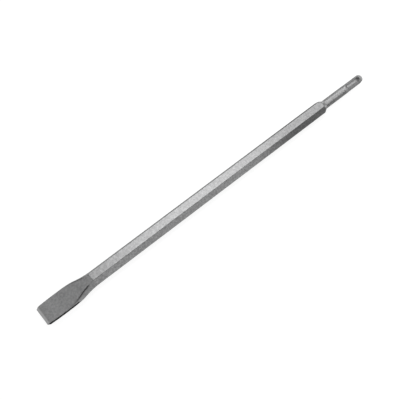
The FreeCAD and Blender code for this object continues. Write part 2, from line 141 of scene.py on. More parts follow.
chiselSettings = {
    "sizes": {  # millimetres and degrees, x measured from the cutting edge
        "overallLength": 440.0,
        "acrossFlats": 14.3,
        "bladeWidth": 22.0,
        "bladeWidestAt": 24.0,
        "sideTaper": 0.75,
        "sideArcLength": 16.0,  # how far the side's arc runs on behind its widest place
        "trimWidth": 0.85,
        "trimLength": 2.4,
        "edgeLand": 0.35,
        "bevelLength": 2.5,
        "bevelThickness": 4.1,
        "bladeThickness": 4.3,
        "faceLength": 14.0,
        "pressStart": 58.1,
        "pressAngle": 5.0,
        "crownRadius": 70.0,
        "hollowRadius": 114.0,
        "flareStart": 62.6,
        "flareRadius": 82.0,
        "spreadRadius": 60.0,
        "creaseDepth": 0.34,
        "creaseWidth": 0.5,
        "creaseDrop": 0.3,  # how far down the flank the fold lies from the corner
        "shankRadius": 5.0,
        "shoulderToTip": 65.6,
        "shoulderAngle": 32.0,
        "neckBlend": 2.1,
        "tipChamferLength": 2.4,
        "tipChamferDepth": 1.5,
        "ballRadius": 3.25,
        "ballGrooveDepth": 1.65,
        "ballGrooveLength": 22.0,
        "ballGrooveToTip": 4.1,
        "keywayLength": 21.0,
        "keywayDepth": 1.9,
        "keywayFloorWidth": 2.6,
        "keywayWallAngle": 20.0,
        "keywayRunout": 12.0,
        "keywayMouthShare": 0.93,  # the walls end this far out, as a share of the shank's radius
        "keywayMouthLength": 6.3,  # and draw together over this much of the run-out
        "groovesTurned": 12.0,  # the grooves don't line up with the hexagon
        "cornerBlend": 0.45,
        "creaseBlend": 0.4,
        "sideCornerBlend": 0.35,
        "shoulderBlend": 0.8,
        "tipBlend": 1.2,
        "grooveBlend": 0.12,
        "forgedUnevenness": 0.06,
        "forgedPatch": 7.0,
        "drawnUnevenness": 0.02,
        "drawnPatch": 16.0,
        "unevennessSeed": 4.0,
        "closePastFlare": 2.0,  # the blade's close rings run this much past the flare
        "closeBeforeShoulder": 4.0,
    },
    "mesh": {
        "bladeRings": 200,
        "barRings": 96,
        "shankRings": 270,
        "topSteps": 13,  # from the middle of a face to its crease, and so on round a quarter
        "flankSteps": 12,
        "sideSteps": 6,
    },
    "columns": {  # where the columns of points lie round a section
        "footMost": 0.75,  # the flank's foot, as shares of the half height
        "footLeast": 0.6,
        "footLowest": 0.4,  # in millimetres
        "plainRimCos": 0.8788,  # directions on the plain round part
        "plainKeySin": 0.39,
        "rimCosMost": 0.99,
        "keyMargin": 0.07,  # millimetres outside the keyway's mouth
        "flankCrowding": 0.7,
        "sideCrowding": 1.5,
        "capShare": 0.96,  # the ring just inside each end
    },
    "zones": {  # where each change begins and where it is complete, in millimetres
        # darker towards the cutting edge
        "darkTowardEdge": (3, 26),  # from the cutting edge
        "foldGrows": (14, 42),
        "foldEnds": (50, 53.5),
        "sideEnds": (35.4, 37.4),
        "sideShadeEnds": (35.2, 36.8),
        "press": (36, 50),
        # painted shade: the bar darkens towards the shank end
        "shankEndShade": (255, 335),
        # the corners brighten towards the shank end, as wear and painted highlight
        "cornerBrightening": (260, 345),
        "pressLine": (-1, 0),  # from the start of the press
        "round": (-4, 9),  # from the shoulder
        "lathe": (-3, 1),
        "columnsGather": (-16, -3),  # from the nearer end of the ball grooves
        "twist": (-19, -5),
        "byGrooves": (-5, 1),
        # painted shade in the ball grooves' ends
        "grooveEndShadeAtTip": (-5, -3.4),
        "grooveEndShadeBehind": (-3.4, -1.6),
        # painted highlight on the tip's chamfer, the neck and the shoulder cone
        "tipHighlight": (-1.5, 0.3),  # from the tip's chamfer
        "neckHighlight": (0.02, 0.3),  # by how far the neck stands above the shank
        "coneHighlightFade": (0.9, 1.6),
        "corner": (0, 0.8),  # by how far one surface lies outside another
        "shoulderRim": (0, 0.5),
        "turned": (-0.05, 0.1),
        "side": (-0.1, 0.25),
        "flank": (-0.05, 0.15),
        "groove": (0, 0.35),
        "grooveEndShade": (0, 0.2),
        "keyway": (0, 0.25),
    },
    "marks": {
        "cornerBrighteningLeast": 0.5,  # how bright the corners are, as wear and painted highlight, away from the shank end
        "grooveEndShadeBehind": 0.12,
        "neckHighlightMost": 0.85,
        "coneLess": 0.4,
        "shankFlank": (0.62, 0.84),  # where the round part's painted shade begins and is full, as shares of its radius
        "groovedFlank": (0.80, 0.92),  # less painted shade lies on the flanks by the grooves
    },
}


def cornerReach(size):
    # from the middle of the bar to a corner of the hexagon
    return size["acrossFlats"] / (2 * math.cos(flankAngle))


def pressedHeight(x, size):
    # half the thickness: bevel, blade face, hollow arc, crown arc, straight slope, bar
    half = size["acrossFlats"] / 2
    bevelTop = size["bevelThickness"] / 2
    faceTop = size["bladeThickness"] / 2
    land = size["edgeLand"] / 2
    bevel = land + x * (bevelTop - land) / size["bevelLength"]
    rise = (faceTop - bevelTop) / (size["faceLength"] - size["bevelLength"])
    face = bevelTop + (x - size["bevelLength"]) * rise

    # the hollow runs on from the face, and the crown touches both the hollow and the slope
    leanCos = 1 / (1 + rise * rise).root()
    leanSin = rise * leanCos
    angle = size["pressAngle"].radians()
    slopeSin = angle.calc("SINE")
    slopeCos = angle.calc("COSINE")
    hollow = size["hollowRadius"]
    crown = size["crownRadius"]
    hollowX = size["faceLength"] - hollow * leanSin
    hollowZ = faceTop + hollow * leanCos
    baseX = size["pressStart"] + crown * slopeSin - hollowX
    baseZ = half - crown * slopeCos - hollowZ
    across = baseX * slopeCos + baseZ * slopeSin
    apart = baseX * baseX + baseZ * baseZ - (hollow + crown) * (hollow + crown)
    run = across - (across * across - apart).root()
    crownX = hollowX + baseX - run * slopeCos
    crownZ = hollowZ + baseZ - run * slopeSin
    meetX = crownX + crown * (hollowX - crownX) / (hollow + crown)
    slopeX = size["pressStart"] - run * slopeCos

    hollowArc = hollowZ - halfChord(hollow, x - hollowX)
    crownArc = crownZ + halfChord(crown, x - crownX)
    slope = half - (size["pressStart"] - x) * slopeSin / slopeCos
    upper = choose(x.below(slopeX), crownArc, slope.least(half))
    lower = choose(x.below(size["faceLength"]), face, hollowArc)
    return choose(x.below(meetX), lower, upper).least(bevel)


def flankReach(x, size):
    # where the sloping flank meets the middle plane: the ogee from the bar to the blade
    barReach = cornerReach(size)
    bladeReach = size["bladeWidth"] / 2 + size["bladeThickness"] / 2 * math.tan(flankAngle)
    flare = size["flareRadius"]
    spread = size["spreadRadius"]
    turnCos = 1 - (bladeReach - barReach) / (flare + spread)
    turnSin = (1 - turnCos * turnCos).root()
    meetX = size["flareStart"] - flare * turnSin
    spreadX = meetX - spread * turnSin
    spreadArc = bladeReach - spread + halfChord(spread, (x - spreadX).most(0))
    flareArc = barReach + flare - halfChord(flare, (size["flareStart"] - x).most(0))
    return choose(x.below(meetX), spreadArc, flareArc)


def sideReach(x, flank, size, zones):
    # the blade's upright side: a long bulging arc with a trimmed corner, which ends
    # where the die's side did and leaves the corner of the flanks
    taper = size["sideTaper"]
    widest = size["bladeWidestAt"]
    radius = (widest * widest + taper * taper) / (2 * taper)
    halfWidth = size["bladeWidth"] / 2
    arc = halfWidth - radius + halfChord(radius, (x - widest).least(size["sideArcLength"]))
    trimEnd = halfWidth - radius + halfChord(radius, size["trimLength"] - widest)
    trimStart = halfWidth - taper - size["trimWidth"]
    trim = trimStart + x * (trimEnd - trimStart) / size["trimLength"]
    ended = ramp(x, *zones["sideEnds"]).eased()
    return choose(ended, (flank + 1).least(halfWidth), arc.least(trim))


def turnedRadius(x, chamferX, size):
    # what the lathe leaves: shoulder cone, neck, shank and the chamfer at the tip
    shoulderX = size["overallLength"] - size["shoulderToTip"]
    cone = cornerReach(size) - (x - shoulderX) * size["shoulderAngle"].radians().calc("TANGENT")
    neck = cone.softMost(size["shankRadius"], size["neckBlend"])
    fall = size["tipChamferDepth"] / size["tipChamferLength"]
    chamfer = size["shankRadius"] - (x - chamferX) * fall
    return neck.softLeast(chamfer, size["tipBlend"])


def ballGroove(x, ballMiddle, size):
    # the ball's reach and its axis at this station, and the direction of the groove's rim
    shank = size["shankRadius"]
    ball = size["ballRadius"]
    depth = size["ballGrooveDepth"]
    mark = (2 * ball * depth - depth * depth).root()
    pastRun = ((x - ballMiddle).calc("ABSOLUTE") - size["ballGrooveLength"] / 2 + mark).most(0)
    reach = ball * ball - pastRun * pastRun
    centre = shank - depth + ball
    rimCos = (shank * shank + centre * centre - reach) / (2 * shank * centre)
    return reach, centre, rimCos


def keyway(x, size):
    # the keyway's floor and half the width of its mouth at this station
    shank = size["shankRadius"]
    cutter = size["keywayRunout"]
    cutterAxis = shank - size["keywayDepth"] + cutter
    back = (size["overallLength"] - size["keywayLength"] - x).most(0)
    floor = cutterAxis - halfChord(cutter, back)
    wallTan = size["keywayWallAngle"].radians().calc("TANGENT")
    mouthOut = cutterAxis - size["keywayMouthShare"] * shank
    mouthBack = back.least(size["keywayMouthLength"])
    mouthReach = cutter - (mouthOut * mouthOut + mouthBack * mouthBack).root()
    return floor, size["keywayFloorWidth"] / 2 + mouthReach * wallTan


def layRings(tree, size, capShare):
    # a flat grid of rings, to be rolled up into the chisel
    capRings = 2
    top = size["topSteps"]
    toFoot = top + size["flankSteps"]
    quarter = toFoot + size["sideSteps"]
    columns = 4 * quarter + 1
    blade = size["bladeRings"]
    bar = size["barRings"]
    shank = size["shankRings"]
    rings = blade + bar + shank + 2 * capRings + 1
    grid = tree.nodes.new("GeometryNodeMeshGrid")
    feed(tree, rings, grid.inputs["Vertices X"])
    feed(tree, columns, grid.inputs["Vertices Y"])
    index = Field(tree, tree.nodes.new("GeometryNodeInputIndex").outputs[0])
    ring = ((index + 0.5) / columns).calc("FLOOR")
    column = index - ring * columns

    # stations along the bar: close on the blade and the shank, wide on the plain bar
    bladeEnd = size["flareStart"] + size["closePastFlare"]
    shankStart = size["overallLength"] - size["shoulderToTip"] - size["closeBeforeShoulder"]
    fromEdge = ramp(ring, capRings, capRings + blade) * bladeEnd
    onBar = ramp(ring, capRings + blade, capRings + blade + bar) * (shankStart - bladeEnd)
    onShank = ramp(ring, capRings + blade + bar, capRings + blade + bar + shank)
    x = fromEdge + onBar + onShank * (size["overallLength"] - shankStart)

    # the rings at both ends draw together to close the form
    nearestCap = ring.least(rings - 1 - ring)
    inner = choose(nearestCap.below(1.5), capShare, 1)
    closing = choose(nearestCap.below(0.5), 0, inner)

    # each quarter of a ring goes over half a face, a flank and half a side
    way = column / quarter
    step = way.calc("PINGPONG", 1) * quarter
    parts = ramp(step, 0, top), ramp(step, top, toFoot), ramp(step, toFoot, quarter)
    return grid.outputs["Mesh"], x, closing, way, parts


def patchyNoise(tree, spot, patch, seed):
    noise = tree.nodes.new("ShaderNodeTexNoise")
    noise.noise_dimensions = "4D"
    tree.links.new(spot, noise.inputs["Vector"])
    feed(tree, seed, noise.inputs["W"])
    feed(tree, 1 / patch, noise.inputs["Scale"])
    noise.inputs["Detail"].default_value = 2
    return Field(tree, noise.outputs[0])


def storeMasks(tree, geometry, masks):
    for name, mask in masks.items():
        store = tree.nodes.new("GeometryNodeStoreNamedAttribute")
        store.data_type = "FLOAT"
        store.domain = "POINT"
        store.inputs["Name"].default_value = name
        tree.links.new(geometry, store.inputs["Geometry"])
        feed(tree, mask, store.inputs["Value"])
        geometry = store.outputs["Geometry"]
    return geometry


def storedMask(tree, name):
    reader = tree.nodes.new("GeometryNodeInputNamedAttribute")
    reader.data_type = "FLOAT"
    reader.inputs["Name"].default_value = name
    return Field(tree, reader.outputs["Attribute"])


def setFinishes(tree, geometry, given, size):
    station = storedMask(tree, "stationX")
    offSide = 1 - storedMask(tree, "sideShadeMask").calc("GREATER_THAN", 0.5)
    finishes = (
        ("forgedFinish", None),
        ("barFinish", station.calc("GREATER_THAN", size["pressStart"])),
        ("turnedFinish", storedMask(tree, "turnedMask").calc("GREATER_THAN", 0.5)),
        ("groundFinish", station.below(size["bevelLength"]) * offSide),
    )
    for name, selection in finishes:
        finish = tree.nodes.new("GeometryNodeSetMaterial")
        tree.links.new(geometry, finish.inputs["Geometry"])
        tree.links.new(given.outputs[name], finish.inputs["Material"])
        if selection:
            tree.links.new(selection.socket, finish.inputs["Selection"])
        geometry = finish.outputs["Geometry"]
    return geometry


def buildChiselTree(settings):
    tree = bpy.data.node_groups.new("chiselForm", "GeometryNodeTree")
    tree.interface.new_socket(name="Geometry", in_out="INPUT", socket_type="NodeSocketGeometry")
    tree.interface.new_socket(name="Geometry", in_out="OUTPUT", socket_type="NodeSocketGeometry")
    for name in settings["sizes"]:
        tree.interface.new_socket(name=name, in_out="INPUT", socket_type="NodeSocketFloat")
    for name in settings["mesh"]:
        tree.interface.new_socket(name=name, in_out="INPUT", socket_type="NodeSocketInt")
    for name in ("forgedFinish", "barFinish", "turnedFinish", "groundFinish"):
        tree.interface.new_socket(name=name, in_out="INPUT", socket_type="NodeSocketMaterial")
    given = tree.nodes.new("NodeGroupInput")
    size = {}
    for name in (*settings["sizes"], *settings["mesh"]):
        size[name] = Field(tree, given.outputs[name])
    columns = settings["columns"]
    zones = settings["zones"]
    marks = settings["marks"]
    flatGrid, x, closing, way, parts = layRings(tree, size, columns["capShare"])
    alongTop, alongFlank, alongSide = parts

    shankRadius = size["shankRadius"]
    shoulderX = size["overallLength"] - size["shoulderToTip"]
    chamferX = size["overallLength"] - size["tipChamferLength"]
    grooveEnd = size["overallLength"] - size["ballGrooveToTip"]
    grooveStart = grooveEnd - size["ballGrooveLength"]
    ballMiddle = grooveEnd - size["ballGrooveLength"] / 2
    height = pressedHeight(x, size)
    flank = flankReach(x, size)
    wall = sideReach(x, flank, size, zones)
    turned = turnedRadius(x, chamferX, size)
    ballReach, ballCentre, rimCos = ballGroove(x, ballMiddle, size)
    keyFloor, mouthHalf = keyway(x, size)
    tiny = 0.0001  # this one and the next keep a division from running wild
    small = 0.01
    outOfTheWay = 50

    # landmarks of a quarter section, sharp: middle of the face, crease, flank's foot, side
    creaseY = wall.least(flank - height * math.tan(flankAngle)).most(small)
    footLeast = (height * columns["footLeast"]).least(columns["footLowest"])
    footMost = height * columns["footMost"]
    footZ = ((flank - wall) / math.tan(flankAngle)).least(footMost).most(footLeast)
    footY = wall.least(flank - footZ * math.tan(flankAngle))
    rounded = ramp(x - shoulderX, *zones["round"]).eased()
    grooved = ramp(x - grooveStart, *zones["columnsGather"])
    rimCosHere = choose(grooved, rimCos.least(columns["rimCosMost"]), columns["plainRimCos"])
    rimSinHere = (1 - rimCosHere * rimCosHere).root()
    mouthSin = (mouthHalf + columns["keyMargin"]) / shankRadius
    keySin = choose(grooved, mouthSin, columns["plainKeySin"])
    keyCos = (1 - keySin * keySin).root()
    faceZ = choose(rounded, shankRadius, height)
    cornerY = choose(rounded, shankRadius * rimSinHere, creaseY)
    cornerZ = choose(rounded, shankRadius * rimCosHere, height)
    lowY = choose(rounded, shankRadius * keyCos, footY)
    lowZ = choose(rounded, shankRadius * keySin, footZ)
    sideY = choose(rounded, shankRadius, wall.least(flank))

    # a point on that sharp outline for each column, closer together by the corners
    crowding = columns["flankCrowding"]
    topPart = 1 - (1 - alongTop) * (1 - alongTop)
    flankPart = crowding * alongFlank.eased().eased() + (1 - crowding) * alongFlank
    sidePart = alongSide.calc("POWER", columns["sideCrowding"])
    outlineY = cornerY * topPart + (lowY - cornerY) * flankPart + (sideY - lowY) * sidePart
    outlineZ = faceZ + (cornerZ - faceZ) * topPart + (lowZ - cornerZ) * flankPart - lowZ * sidePart
    distance = (outlineY * outlineY + outlineZ * outlineZ).root()
    aimY = outlineY / distance
    aimZ = outlineZ / distance

    # how far the steel reaches that way: the nearest of the faces, with worn corners
    flankOut = flank * math.cos(flankAngle)
    aimOut = aimY * math.cos(flankAngle)
    aimUp = aimZ * math.sin(flankAngle)
    toFace = height / aimZ.most(tiny)
    toFlank = flankOut / (aimOut + aimUp)
    toLowFlank = flankOut / (aimOut - aimUp).most(small)
    toSide = wall / aimY.most(tiny)
    section = toFace.softLeast(toFlank, size["creaseBlend"])
    section = section.softLeast(toLowFlank, size["sideCornerBlend"])
    section = section.softLeast(toSide, size["cornerBlend"])
    forged = section.softLeast(turned, size["shoulderBlend"])

    # the grooves cut in where they meet that ray
    inBall = ballReach - ballCentre * ballCentre * aimY * aimY
    toBall = ballCentre * aimZ - inBall.root() + outOfTheWay * inBall.below(0)
    afterBall = forged.softLeast(toBall, size["grooveBlend"])
    outsideKey = 1 - (aimZ * shankRadius).below(mouthHalf)
    toKey = keyFloor / aimY.most(tiny) + outOfTheWay * outsideKey
    afterKey = afterBall.softLeast(toKey, size["grooveBlend"])

    # the fold that the press leaves along the crease
    offY = outlineY - cornerY - size["creaseDrop"] * math.sin(flankAngle)
    offZ = outlineZ - cornerZ + size["creaseDrop"] * math.cos(flankAngle)
    foldNear = (offY * offY + offZ * offZ) / (size["creaseWidth"] * size["creaseWidth"])
    foldGrowth = ramp(x, *zones["foldGrows"])
    foldReach = foldGrowth * foldGrowth * (1 - ramp(x, *zones["foldEnds"]).eased())
    fold = (-foldNear).calc("EXPONENT") * foldReach

    # slight unevenness, always inwards
    leftSide = (way - 2).calc("SIGN")
    lowerSide = ((way - 2).calc("ABSOLUTE") - 1).calc("SIGN")
    spot = vectorOf(tree, x, -outlineY * leftSide, outlineZ * lowerSide)
    forgedPatches = patchyNoise(tree, spot, size["forgedPatch"], size["unevennessSeed"])
    drawnPatches = patchyNoise(tree, spot, size["drawnPatch"], size["unevennessSeed"])
    hammered = 1 - ramp(x - size["pressStart"], *zones["pressLine"])
    unturned = 1 - ramp(x - shoulderX, *zones["lathe"])
    unevenness = (size["forgedUnevenness"] * hammered * forgedPatches
                  + size["drawnUnevenness"] * unturned * drawnPatches)
    settled = ramp(x, 0, size["bevelLength"])
    reach = (afterKey - fold * size["creaseDepth"] - unevenness * settled) * closing

    # the round part turns with its grooves, which starts where it is plain
    twist = size["groovesTurned"].radians() * ramp(x - grooveStart, *zones["twist"]).eased()
    twistSin = twist.calc("SINE")
    twistCos = twist.calc("COSINE")
    straightY = -aimY * leftSide
    straightZ = aimZ * lowerSide
    turnedY = straightY * twistCos - straightZ * twistSin
    turnedZ = straightY * twistSin + straightZ * twistCos
    metres = 0.001
    place = vectorOf(
        tree,
        (x - size["overallLength"] / 2) * metres,
        turnedY * reach * metres,
        (turnedZ * reach + size["acrossFlats"] / 2) * metres)

    # what the finishes need to know about each spot
    smallest = toFace.least(toFlank).least(toSide)
    second = toFace.least(toFlank).most(toFace.most(toFlank).least(toSide))
    nearCorner = 1 - ramp(second - smallest, *zones["corner"])
    nearShoulder = 1 - ramp((section - turned).calc("ABSOLUTE"), *zones["shoulderRim"])
    onTurned = ramp(section - turned, *zones["turned"])
    onSide = ramp(toFace.least(toFlank) - toSide, *zones["side"])
    onFlank = ramp(toFace - toFlank, *zones["flank"])
    cornerBrightening = choose(ramp(x, *zones["cornerBrightening"]), 1, marks["cornerBrighteningLeast"])
    byGrooves = ramp(x - grooveStart, *zones["byGrooves"])
    # the round part's sides get painted shade, which starts further out by the grooves
    darkFrom = choose(byGrooves, marks["groovedFlank"][0], marks["shankFlank"][0])
    darkTo = choose(byGrooves, marks["groovedFlank"][1], marks["shankFlank"][1])
    roundFlank = ramp(turnedY.calc("ABSOLUTE"), darkFrom, darkTo)
    # painted shade at both ends of the ball grooves, strongest at the tip end
    grooveEndShadeBehind = marks["grooveEndShadeBehind"] * ramp(grooveStart - x, *zones["grooveEndShadeBehind"])
    grooveEndShadeEnds = ramp(x - grooveEnd, *zones["grooveEndShadeAtTip"]).most(grooveEndShadeBehind)
    # painted highlight on the neck, with less of it up the cone
    neckRise = turned - shankRadius
    coneHighlightFade = 1 - marks["coneLess"] * ramp(neckRise, *zones["coneHighlightFade"])
    neckHighlight = marks["neckHighlightMost"] * ramp(neckRise, *zones["neckHighlight"]) * coneHighlightFade
    masks = {
        # corner and shoulder rim brightening: part rubbed wear, part painted highlight
        "cornerWearAndHighlightMask": (nearCorner * (1 - onTurned) * cornerBrightening).most(nearShoulder),
        # painted shade along the fold by the crease
        "foldShadeMask": (-foldNear / 2).calc("EXPONENT") * foldReach,
        # painted shade on the blade's upright sides; the same mask keeps the ground finish off them
        "sideShadeMask": onSide * (1 - ramp(x, *zones["sideShadeEnds"])),
        # painted shade on the bar's flanks and on the round part's sides
        "flankShadeMask": choose(onTurned, roundFlank, onFlank),
        # painted shade towards the shank end, on the flats and deeper on the flanks
        "shankEndShadeMask": ramp(x, *zones["shankEndShade"]).eased(),
        # darker towards the cutting edge
        "darkTowardEdgeMask": 1 - ramp(x, *zones["darkTowardEdge"]).eased(),
        # painted shade inside the ball grooves
        "grooveShadeMask": ramp(forged - afterBall, *zones["groove"]),
        # painted shade inside the keyways
        "keywayShadeMask": ramp(afterBall - afterKey, *zones["keyway"]),
        # painted shade in the ball grooves' ends
        "grooveEndShadeMask": ramp(forged - afterBall, *zones["grooveEndShade"]) * grooveEndShadeEnds,
        # darker along the blade from the press on
        "pressMask": ramp(x, *zones["press"]).eased(),
        # painted highlight on the tip's chamfer and the neck
        "tipNeckHighlightMask": ramp(x - chamferX, *zones["tipHighlight"]).most(neckHighlight),
        "turnedMask": onTurned,
        "stationX": x,
    }

    # the masks are stored before anything moves, while the grid's own numbering holds
    position = tree.nodes.new("GeometryNodeSetPosition")
    tree.links.new(storeMasks(tree, flatGrid, masks), position.inputs["Geometry"])
    tree.links.new(place, position.inputs["Position"])
    merge = tree.nodes.new("GeometryNodeMergeByDistance")
    merge.inputs["Distance"].default_value = 0.000001
    tree.links.new(position.outputs["Geometry"], merge.inputs["Geometry"])
    smooth = tree.nodes.new("GeometryNodeSetShadeSmooth")
    tree.links.new(merge.outputs["Geometry"], smooth.inputs["Geometry"])
    realize = tree.nodes.new("GeometryNodeRealizeInstances")
    tree.links.new(smooth.outputs["Geometry"], realize.inputs["Geometry"])
    finished = setFinishes(tree, realize.outputs["Geometry"], given, size)
    output = tree.nodes.new("NodeGroupOutput")
    tree.links.new(finished, output.inputs["Geometry"])
    return tree


def makeChisel(settings, finishes):
    sharpAngle = 42  # degrees; faces that meet more gently shade as one
    tree = buildChiselTree(settings)
    holder = bpy.data.objects.new("chiselGrid", bpy.data.meshes.new("chiselGrid"))
    scene.collection.objects.link(holder)
    modifier = holder.modifiers.new("chiselForm", "NODES")
    modifier.node_group = tree
    values = {**settings["sizes"], **settings["mesh"], **finishes}
    for socket in tree.interface.items_tree:
        if socket.in_out == "INPUT" and socket.name in values:
            modifier[socket.identifier] = values[socket.name]
    evaluated = holder.evaluated_get(bpy.context.evaluated_depsgraph_get())
    mesh = bpy.data.meshes.new_from_object(evaluated)
    bpy.data.objects.remove(holder)
    mesh.name = "flatChiselSteel"
    finishIndex = [face.material_index - 1 for face in mesh.polygons]
    mesh.materials.pop(index=0)  # the empty slot that the tree leaves before its finishes
    mesh.polygons.foreach_set("material_index", finishIndex)
    mesh.set_sharp_from_angle(angle=math.radians(sharpAngle))
    piece = bpy.data.objects.new("flatChiselSteel", mesh)
    scene.collection.objects.link(piece)
    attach(piece, "root")
    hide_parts("flat_chisel")
    triangles = sum(len(face.vertices) - 2 for face in mesh.polygons)
    print("chisel:", len(mesh.vertices), "points,", triangles, "triangles")


def newEffect(name, inputs, outputs):
    effect = bpy.data.node_groups.new(name, "ShaderNodeTree")
    for socketName, kind, value in inputs:
        socket = effect.interface.new_socket(name=socketName, in_out="INPUT", socket_type=kind)
        socket.default_value = value
    for socketName in outputs:
        effect.interface.new_socket(name=socketName, in_out="OUTPUT", socket_type="NodeSocketFloat")
    given = effect.nodes.new("NodeGroupInput")
    taken = effect.nodes.new("NodeGroupOutput")
    return effect, {name: Field(effect, given.outputs[name]) for name, _, _ in inputs}, taken


def noiseField(tree, place, scale, detail, roughness):
    noise = tree.nodes.new("ShaderNodeTexNoise")
    feed(tree, place, noise.inputs["Vector"])
    feed(tree, scale, noise.inputs["Scale"])
    noise.inputs["Detail"].default_value = detail
    noise.inputs["Roughness"].default_value = roughness
    return (Field(tree, noise.outputs[0]) - 0.5) * 3  # between about -1 and 1


blastedGrainShares = {
    "speckleScale": 0.4,
    "pitScale": 6,
    "pitRadius": 0.22,
    "pitsWhereCloudy": (0.1, 0.5),
    "shade": {"grain": 0.09, "speckle": 0.15, "cloud": 0.1, "pits": 0.35},
    "rough": {"grain": 0.05, "cloud": 0.06, "pits": 0.15},
    "height": {"grain": 0.5, "cloud": 0.3},
}


def makeBlastedGrain(shares):
    # the fine matt grain of blasted steel, with broad faint clouds and a few small pits
    effect, given, taken = newEffect(
        "blastedGrain",
        [("Place", "NodeSocketVector", (0, 0, 0)), ("Grain Per Metre", "NodeSocketFloat", 1400.0),
         ("Cloud Per Metre", "NodeSocketFloat", 90.0), ("Grain", "NodeSocketFloat", 0.5),
         ("Cloud", "NodeSocketFloat", 0.5), ("Pits", "NodeSocketFloat", 0.3)],
        ["Shade", "Roughness", "Height"])
    place = given["Place"]
    speckleSize = given["Grain Per Metre"] * shares["speckleScale"]
    grain = noiseField(effect, place, given["Grain Per Metre"], 2, 0.6)
    speckle = noiseField(effect, place, speckleSize, 1, 0.5)
    cloud = noiseField(effect, place, given["Cloud Per Metre"], 4, 0.55)
    cells = effect.nodes.new("ShaderNodeTexVoronoi")
    feed(effect, place, cells.inputs["Vector"])
    feed(effect, given["Cloud Per Metre"] * shares["pitScale"], cells.inputs["Scale"])
    near = 1 - ramp(Field(effect, cells.outputs["Distance"]), 0, shares["pitRadius"])
    pits = near * ramp(cloud, *shares["pitsWhereCloudy"]) * given["Pits"]

    shade = shares["shade"]
    rough = shares["rough"]
    height = shares["height"]
    fineShade = (grain * shade["grain"] + speckle * shade["speckle"]) * given["Grain"]
    cloudShade = cloud * given["Cloud"] * shade["cloud"]
    fineRough = grain * given["Grain"] * rough["grain"]
    cloudRough = cloud * given["Cloud"] * rough["cloud"]
    fineHeight = grain * given["Grain"] * height["grain"]
    cloudHeight = cloud * given["Cloud"] * height["cloud"]
    feed(effect, 1 + fineShade + cloudShade - pits * shade["pits"], taken.inputs["Shade"])
    feed(effect, fineRough + cloudRough + pits * rough["pits"], taken.inputs["Roughness"])
    feed(effect, fineHeight + cloudHeight - pits, taken.inputs["Height"])
    return effect


toolLineShares = {"broadScale": 0.23, "fine": 0.6, "broad": 0.4, "shade": 0.1, "rough": 0.08}


def makeToolLines(shares):
    # fine lines that a die, a lathe or a grinding belt leaves; a stretched Place sets their way
    effect, given, taken = newEffect(
        "toolLines",
        [("Place", "NodeSocketVector", (0, 0, 0)), ("Lines Per Metre", "NodeSocketFloat", 1500.0),
         ("Strength", "NodeSocketFloat", 0.5)],
        ["Shade", "Roughness", "Height"])
    fineLines = noiseField(effect, given["Place"], given["Lines Per Metre"], 2, 0.6)
    broadSize = given["Lines Per Metre"] * shares["broadScale"]
    broadLines = noiseField(effect, given["Place"], broadSize, 2, 0.5)
    mixed = (fineLines * shares["fine"] + broadLines * shares["broad"]) * given["Strength"]
    feed(effect, 1 + mixed * shares["shade"], taken.inputs["Shade"])
    feed(effect, mixed * shares["rough"], taken.inputs["Roughness"])
    feed(effect, mixed, taken.inputs["Height"])
    return effect


edgeWearAndHighlightShares = {"patchesPerMetre": 160, "patches": 0.35, "wornFrom": 0.35, "wornTo": 0.95}


def makeEdgeWearAndHighlight(shares):
    # corners brightened by rubbed wear and by a painted highlight, broken up so that they don't run
    # as a ruled line
    effect, given, taken = newEffect(
        "edgeWearAndHighlight",
        [("Place", "NodeSocketVector", (0, 0, 0)), ("Corner", "NodeSocketFloat", 0.0),
         ("Break Up", "NodeSocketFloat", 0.5), ("Amount", "NodeSocketFloat", 0.5)],
        ["Mask"])
    patches = noiseField(effect, given["Place"], shares["patchesPerMetre"], 4, 0.6)
    ragged = given["Corner"] + patches * given["Break Up"] * shares["patches"]
    rubbedAndHighlighted = ramp(ragged, shares["wornFrom"], shares["wornTo"])
    feed(effect, rubbedAndHighlighted.eased() * given["Amount"], taken.inputs["Mask"])
    return effect


plainSteel = {
    "glance": 0.45,  # how much the steel reflects at a low angle
    "bumpDepth": 0.00003,
    "flankShade": 0.0,
    "shankEndShadeFlankTone": 0.0,
    "flankMottle": 0.65,
    "dullRoughness": 0.12,
    "roughnessRange": (0.15, 0.8),
}

